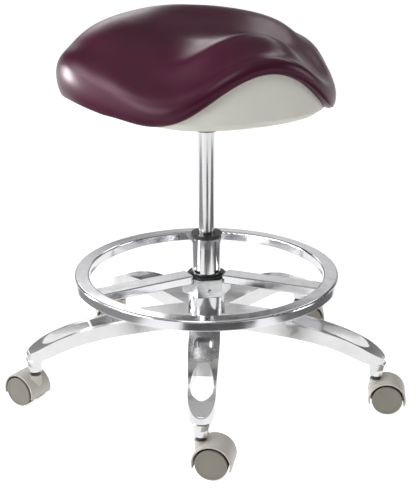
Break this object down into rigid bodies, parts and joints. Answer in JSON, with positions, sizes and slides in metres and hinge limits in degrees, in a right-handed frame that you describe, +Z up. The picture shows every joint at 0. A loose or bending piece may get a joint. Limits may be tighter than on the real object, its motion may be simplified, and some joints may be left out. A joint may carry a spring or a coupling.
{
  "type": "dentist stool",
  "caption": "Height-adjustable saddle-seat stool: arched upholstered seat on a gas lift, spoked foot ring, arched star base and hooded twin-wheel casters.",
  "frame": {"origin": "on the floor under the column's axis", "axes": "+Z up, the seat's front faces -Y, +X is the sitter's left-hand side seen from the front"},
  "size_m": [0.6827, 0.6661, 0.6556],
  "materials": {
    "polished_aluminium": "polished",
    "zinc_grey": "satin",
    "steel": "satin",
    "dark_steel": "satin",
    "chrome": "gloss",
    "black_plastic": "matte",
    "guide_plastic": "matte",
    "black_rubber": "matte",
    "black_steel": "satin",
    "plywood": "matte",
    "pan_plastic": "satin",
    "foam": "matte",
    "vinyl": "satin",
    "wheel_tread": "matte",
    "taupe_plastic": "satin"
  },
  "bodies": {
    "base": {"star_base": "polished_aluminium", "foot_ring": "polished_aluminium", "ring_collar": "zinc_grey", "collar_screws": "steel", "outer_tube": "chrome", "column_cap": "black_plastic", "guide_bushing": "guide_plastic", "column_base_ring": "black_plastic", "thrust_bearing": "steel", "bump_stop": "black_rubber", "caster_1_stem": "dark_steel", "caster_2_stem": "dark_steel", "caster_3_stem": "dark_steel", "caster_4_stem": "dark_steel", "caster_5_stem": "dark_steel"},
    "lift_rod": {"lift_rod": "steel", "rod_clip": "steel"},
    "seat": {"gas_cylinder": "chrome", "cylinder_gland": "guide_plastic", "seat_plate": "black_steel", "seat_pan": "pan_plastic", "seat_board": "plywood", "plate_bolts": "steel", "pan_screws": "steel", "seat_foam": "foam", "seat_cover": "vinyl", "lever_spring": "steel"},
    "lever": {"height_lever": "steel", "lever_paddle": "black_plastic"},
    "release": {"release_pin": "steel"},
    "caster_1": {"caster_1_housing": "taupe_plastic", "caster_1_axle": "steel"},
    "caster_1_wheel_a": {"caster_1_wheel_a": "taupe_plastic", "caster_1_tread_a": "wheel_tread"},
    "caster_1_wheel_b": {"caster_1_wheel_b": "taupe_plastic", "caster_1_tread_b": "wheel_tread"},
    "caster_2": {"caster_2_housing": "taupe_plastic", "caster_2_axle": "steel"},
    "caster_2_wheel_a": {"caster_2_wheel_a": "taupe_plastic", "caster_2_tread_a": "wheel_tread"},
    "caster_2_wheel_b": {"caster_2_wheel_b": "taupe_plastic", "caster_2_tread_b": "wheel_tread"},
    "caster_3": {"caster_3_housing": "taupe_plastic", "caster_3_axle": "steel"},
    "caster_3_wheel_a": {"caster_3_wheel_a": "taupe_plastic", "caster_3_tread_a": "wheel_tread"},
    "caster_3_wheel_b": {"caster_3_wheel_b": "taupe_plastic", "caster_3_tread_b": "wheel_tread"},
    "caster_4": {"caster_4_housing": "taupe_plastic", "caster_4_axle": "steel"},
    "caster_4_wheel_a": {"caster_4_wheel_a": "taupe_plastic", "caster_4_tread_a": "wheel_tread"},
    "caster_4_wheel_b": {"caster_4_wheel_b": "taupe_plastic", "caster_4_tread_b": "wheel_tread"},
    "caster_5": {"caster_5_housing": "taupe_plastic", "caster_5_axle": "steel"},
    "caster_5_wheel_a": {"caster_5_wheel_a": "taupe_plastic", "caster_5_tread_a": "wheel_tread"},
    "caster_5_wheel_b": {"caster_5_wheel_b": "taupe_plastic", "caster_5_tread_b": "wheel_tread"}
  },
  "joints": [
    {"name": "seat_swivel", "type": "hinge", "parent": "base", "child": "lift_rod", "pos_m": [0, 0, 0.3], "axis": [0, 0, 1], "continuous": true},
    {"name": "height_lift", "type": "slide", "parent": "lift_rod", "child": "seat", "axis": [0, 0, 1], "range_m": [-0.13, 0]},
    {"name": "lever_turn", "type": "hinge", "parent": "seat", "child": "lever", "pos_m": [0.092, 0.016, 0.5075], "axis": [1, 0, 0], "range_deg": [0, 12], "stiffness_Nm_per_rad": 0.35, "springref_deg": -20.05},
    {"name": "release_press", "type": "slide", "parent": "seat", "child": "release", "axis": [0, 0, 1], "range_m": [-0.0036, 0.0002]},
    {"name": "caster_1_swivel", "type": "hinge", "parent": "base", "child": "caster_1", "pos_m": [-0.14682, -0.27041, 0.05], "axis": [0, 0, 1], "continuous": true},
    {"name": "caster_1_roll_a", "type": "hinge", "parent": "caster_1", "child": "caster_1_wheel_a", "pos_m": [-0.13128, -0.283, 0.026], "axis": [0.6293, 0.7771, 0], "continuous": true},
    {"name": "caster_1_roll_b", "type": "hinge", "parent": "caster_1", "child": "caster_1_wheel_b", "pos_m": [-0.13128, -0.283, 0.026], "axis": [0.6293, 0.7771, 0], "continuous": true},
    {"name": "caster_2_swivel", "type": "hinge", "parent": "base", "child": "caster_2", "pos_m": [0.21181, -0.2232, 0.05], "axis": [0, 0, 1], "continuous": true},
    {"name": "caster_2_roll_a", "type": "hinge", "parent": "caster_2", "child": "caster_2_wheel_a", "pos_m": [0.22819, -0.23467, 0.026], "axis": [0.5736, 0.8192, 0], "continuous": true},
    {"name": "caster_2_roll_b", "type": "hinge", "parent": "caster_2", "child": "caster_2_wheel_b", "pos_m": [0.22819, -0.23467, 0.026], "axis": [0.5736, 0.8192, 0], "continuous": true},
    {"name": "caster_3_swivel", "type": "hinge", "parent": "base", "child": "caster_3", "pos_m": [0.27772, 0.13247, 0.05], "axis": [0, 0, 1], "continuous": true},
    {"name": "caster_3_roll_a", "type": "hinge", "parent": "caster_3", "child": "caster_3_wheel_a", "pos_m": [0.29505, 0.12247, 0.026], "axis": [0.5, 0.866, 0], "continuous": true},
    {"name": "caster_3_roll_b", "type": "hinge", "parent": "caster_3", "child": "caster_3_wheel_b", "pos_m": [0.29505, 0.12247, 0.026], "axis": [0.5, 0.866, 0], "continuous": true},
    {"name": "caster_4_swivel", "type": "hinge", "parent": "base", "child": "caster_4", "pos_m": [-0.04016, 0.30507, 0.05], "axis": [0, 0, 1], "continuous": true},
    {"name": "caster_4_roll_a", "type": "hinge", "parent": "caster_4", "child": "caster_4_wheel_a", "pos_m": [-0.05896, 0.31191, 0.026], "axis": [-0.342, -0.9397, 0], "continuous": true},
    {"name": "caster_4_roll_b", "type": "hinge", "parent": "caster_4", "child": "caster_4_wheel_b", "pos_m": [-0.05896, 0.31191, 0.026], "axis": [-0.342, -0.9397, 0], "continuous": true},
    {"name": "caster_5_swivel", "type": "hinge", "parent": "base", "child": "caster_5", "pos_m": [-0.30255, 0.05607, 0.05], "axis": [0, 0, 1], "continuous": true},
    {"name": "caster_5_roll_a", "type": "hinge", "parent": "caster_5", "child": "caster_5_wheel_a", "pos_m": [-0.31255, 0.07339, 0.026], "axis": [-0.866, -0.5, 0], "continuous": true},
    {"name": "caster_5_roll_b", "type": "hinge", "parent": "caster_5", "child": "caster_5_wheel_b", "pos_m": [-0.31255, 0.07339, 0.026], "axis": [-0.866, -0.5, 0], "continuous": true}
  ],
  "couplings": [
    {"joint": "release_press", "follows": "lever_turn", "m_per_rad": -0.016}
  ]
}
